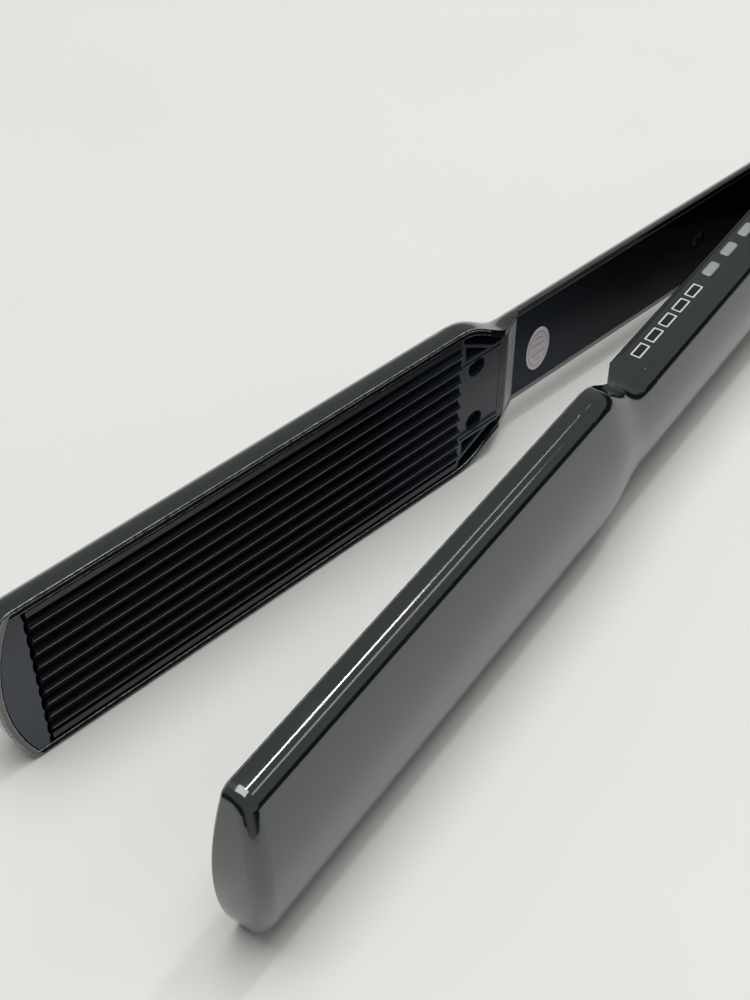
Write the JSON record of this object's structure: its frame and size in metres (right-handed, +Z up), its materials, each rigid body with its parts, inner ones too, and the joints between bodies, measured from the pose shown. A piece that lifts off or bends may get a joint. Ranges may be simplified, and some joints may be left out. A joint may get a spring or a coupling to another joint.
{
  "type": "hair straightener",
  "caption": "Two-arm hair iron with meshing corrugated heating plates, a sprung hinge, push buttons and a swivel cord inlet.",
  "frame": {"origin": "on the flat lower side of the right arm's head, midway across that flat, 212.6 mm from the hinge axis along the arm; this is the surface that the iron lies on", "axes": "+Z up; the right arm's tip points to -X and the hinge lies towards +X; the left arm opens towards +Y"},
  "size_m": [0.3125, 0.0855, 0.0462],
  "materials": {
    "gloss_shell": "gloss",
    "satin_frame": "satin",
    "coated_plate": "satin ceramic coat",
    "silver_button": "satin silver",
    "clear_guide": "clear smoke",
    "sticker": "semi-gloss",
    "white_ceramic": "unglazed",
    "insulator": "amber film",
    "spring_steel": "satin",
    "plated_screw": "zinc plated",
    "board_green": "solder mask",
    "part_black": "moulded",
    "lead_white": "silicone",
    "bush_plastic": "acetal"
  },
  "bodies": {
    "right_arm": {"right_outer_housing": "gloss_shell", "right_inner_cover": "gloss_shell", "right_plate_carrier": "satin_frame", "right_heating_plate": "coated_plate", "right_ceramic_heater": "white_ceramic", "right_insulating_sheet": "insulator", "right_heater_clamp": "spring_steel", "right_heater_leads": "lead_white", "right_carrier_screws": "plated_screw", "right_cover_screws": "plated_screw", "board_screws": "plated_screw", "control_board": "board_green", "controller_chip": "part_black", "triac": "part_black", "filter_capacitor": "insulator", "line_fuse": "white_ceramic", "lead_terminal": "part_black", "tact_switches": "part_black", "status_leds": "clear_guide", "light_guide": "clear_guide", "thermistor": "part_black", "hinge_pin": "spring_steel", "hinge_caps": "gloss_shell", "hinge_washers": "bush_plastic", "return_spring": "spring_steel"},
    "left_arm": {"left_outer_housing": "gloss_shell", "left_inner_cover": "satin_frame", "left_plate_carrier": "satin_frame", "left_heating_plate": "coated_plate", "left_ceramic_heater": "white_ceramic", "left_insulating_sheet": "insulator", "left_heater_clamp": "spring_steel", "left_heater_leads": "lead_white", "left_carrier_screws": "plated_screw", "left_cover_screw": "plated_screw", "thermal_fuse": "plated_screw", "hinge_bushes": "bush_plastic", "inspection_sticker": "sticker"},
    "power_switch": {"power_button": "silver_button"},
    "temperature_up_switch": {"temperature_up_button": "silver_button"},
    "temperature_down_switch": {"temperature_down_button": "silver_button"},
    "swivel": {"cord_gland": "satin_frame"}
  },
  "joints": [
    {"name": "arm_hinge", "type": "hinge", "parent": "right_arm", "child": "left_arm", "pos_m": [0.2126, 0.00121, 0.023], "axis": [0, 0, 1], "range_deg": [0, 12.1], "stiffness_Nm_per_rad": 0.4, "springref_deg": -20.05, "deforming": ["return_spring"]},
    {"name": "power_press", "type": "slide", "parent": "right_arm", "child": "power_switch", "axis": [0, 0, -1], "range_m": [0, 0.0004], "stiffness_N_per_m": 2500, "springref_m": -0.0002},
    {"name": "temperature_up_press", "type": "slide", "parent": "right_arm", "child": "temperature_up_switch", "axis": [0, 0, -1], "range_m": [0, 0.0004], "stiffness_N_per_m": 2500, "springref_m": -0.0002},
    {"name": "temperature_down_press", "type": "slide", "parent": "right_arm", "child": "temperature_down_switch", "axis": [0, 0, -1], "range_m": [0, 0.0004], "stiffness_N_per_m": 2500, "springref_m": -0.0002},
    {"name": "cord_swivel", "type": "hinge", "parent": "right_arm", "child": "swivel", "pos_m": [0.2282, -0.00239, 0.023], "axis": [1, 0, 0], "continuous": true}
  ]
}
